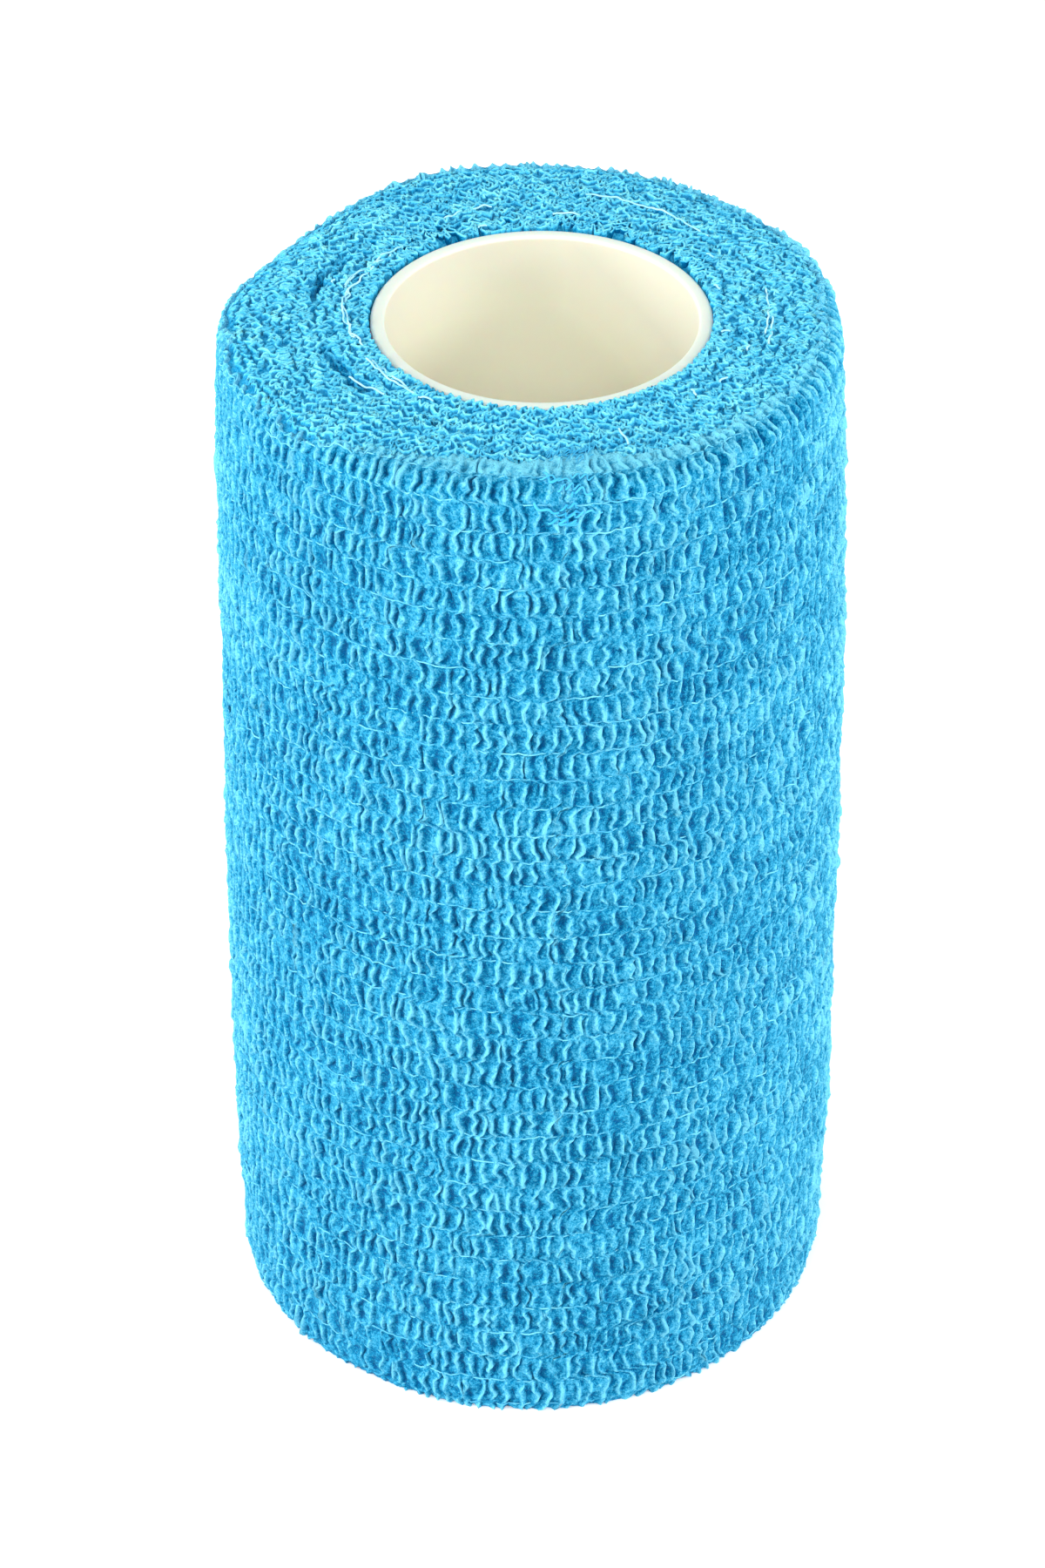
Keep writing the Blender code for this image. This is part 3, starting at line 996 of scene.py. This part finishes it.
def build_core(material):
    """The plastic tube, with softly rounded lips."""
    outer, inner = CORE_RADIUS, CORE_RADIUS - CORE_WALL
    top = CORE_HIGH[2]
    turns = np.radians(np.linspace(0.0, 90.0, LIP_POINTS))
    section = []
    for radius, height, start in (
        (outer - CORE_LIP, CORE_LIP, -90.0),
        (outer - CORE_LIP, top - CORE_LIP, 0.0),
        (inner + CORE_LIP, top - CORE_LIP, 90.0),
        (inner + CORE_LIP, CORE_LIP, 180.0),
    ):
        for turn in turns + math.radians(start):
            section.append((radius + CORE_LIP * math.cos(turn), height + CORE_LIP * math.sin(turn)))
    section = np.array(section)
    angle = TAU * np.arange(CORE_SEGMENTS) / CORE_SEGMENTS
    x = CORE_X + np.outer(np.cos(angle), section[:, 0])
    y = np.outer(np.sin(angle), section[:, 0])
    points = np.stack([x, y, np.broadcast_to(section[:, 1], x.shape)], axis=-1)
    faces, uv = grid_faces(CORE_SEGMENTS, len(section), close_rows=True, close_columns=True)
    item = add_mesh("tube", points.reshape(-1, 3), faces, material, uv=uv)
    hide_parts("core_tube")


# The camera, the floor and the light.

IMAGE_HEIGHT_PIXELS = 1800
FOCAL_PIXELS = 7268
SENSOR_WIDTH = 36.0
CAMERA_AWAY = 465.0
CAMERA_HEIGHT = 384.0
CAMERA_DOWN = math.radians(35.64)
CAMERA_SIDE = -0.85
FLOOR_HALF = 4.0  # metres
SKY_STRENGTH = 0.62
LAMP_TARGET = (0.0, 0.0, 0.05)  # metres


def add_camera():
    """A long lens in front of the roll, which looks down on it."""
    data = bpy.data.cameras.new("view")
    data.sensor_fit = "AUTO"
    data.sensor_width = SENSOR_WIDTH
    data.lens = data.sensor_width * FOCAL_PIXELS / IMAGE_HEIGHT_PIXELS
    data.clip_start = 0.01
    camera = bpy.data.objects.new("view", data)
    camera.location = (CAMERA_SIDE * MM, -CAMERA_AWAY * MM, CAMERA_HEIGHT * MM)
    camera.rotation_euler = (0.5 * math.pi - CAMERA_DOWN, 0.0, 0.0)
    bpy.context.scene.collection.objects.link(camera)
    bpy.context.scene.camera = camera


def add_floor():
    """A wide sheet of plain pale paper."""
    look = Look("floor_paper")
    look.feed(look.shader.inputs["Base Color"], (0.90, 0.90, 0.90, 1.0))
    look.constants(Roughness=0.9, Emission_Color=(1.0, 1.0, 1.0, 1.0), Emission_Strength=0.3)
    mesh = bpy.data.meshes.new("floor")
    corners = [(FLOOR_HALF * x, FLOOR_HALF * y, 0.0) for x, y in ((-1, -1), (1, -1), (1, 1), (-1, 1))]
    mesh.from_pydata(corners, [], [(0, 1, 2, 3)])
    mesh.materials.append(look.material)
    floor = bpy.data.objects.new("floor", mesh)
    bpy.context.scene.collection.objects.link(floor)


# name, place in metres, side length, power in watts
LAMPS = (
    ("left_softbox", (-0.60, -0.20, 0.26), 0.36, 4.0),
    ("right_softbox", (0.62, -0.18, 0.24), 0.36, 3.2),
    ("front_softbox", (0.00, -0.52, 0.64), 0.50, 2.4),
)


def add_lights():
    """An even white surround, and softboxes that face the middle of the roll."""
    world = bpy.data.worlds.new("studio")
    world.use_nodes = True
    background = world.node_tree.nodes["Background"]
    background.inputs["Color"].default_value = (1.0, 1.0, 1.0, 1.0)
    background.inputs["Strength"].default_value = SKY_STRENGTH
    bpy.context.scene.world = world
    for name, place, size, power in LAMPS:
        data = bpy.data.lights.new(name, "AREA")
        data.size = size
        data.energy = power
        lamp = bpy.data.objects.new(name, data)
        lamp.location = place
        toward = np.array(LAMP_TARGET) - np.array(place)
        lamp.rotation_euler = (
            math.atan2(math.hypot(toward[0], toward[1]), -toward[2]),
            0.0,
            math.atan2(toward[1], toward[0]) - 0.5 * math.pi,
        )
        bpy.context.scene.collection.objects.link(lamp)


def main():
    """Set up the view, and dress the frame's two solids piece by piece."""
    add_camera()
    add_floor()
    add_lights()
    cloth = cloth_look("crinkled_cloth", SIDE_BLUES, 0.8)
    edges = cloth_look("turn_edges", EDGE_BLUES, 0.45)
    around, radius, height = build_outer_turn(cloth)
    build_side_threads(around, radius, height, thread_look("side_thread", *SIDE_THREAD))
    build_loose_threads(thread_look("loose_thread", *LOOSE_THREAD))
    build_fray(thread_look("loose_fibre", *LOOSE_FIBRE))
    build_inner_turns(edges)
    build_packing(edges)
    build_core(core_look("tube_plastic"))
    bpy.context.scene.view_settings.view_transform = "Standard"


main()
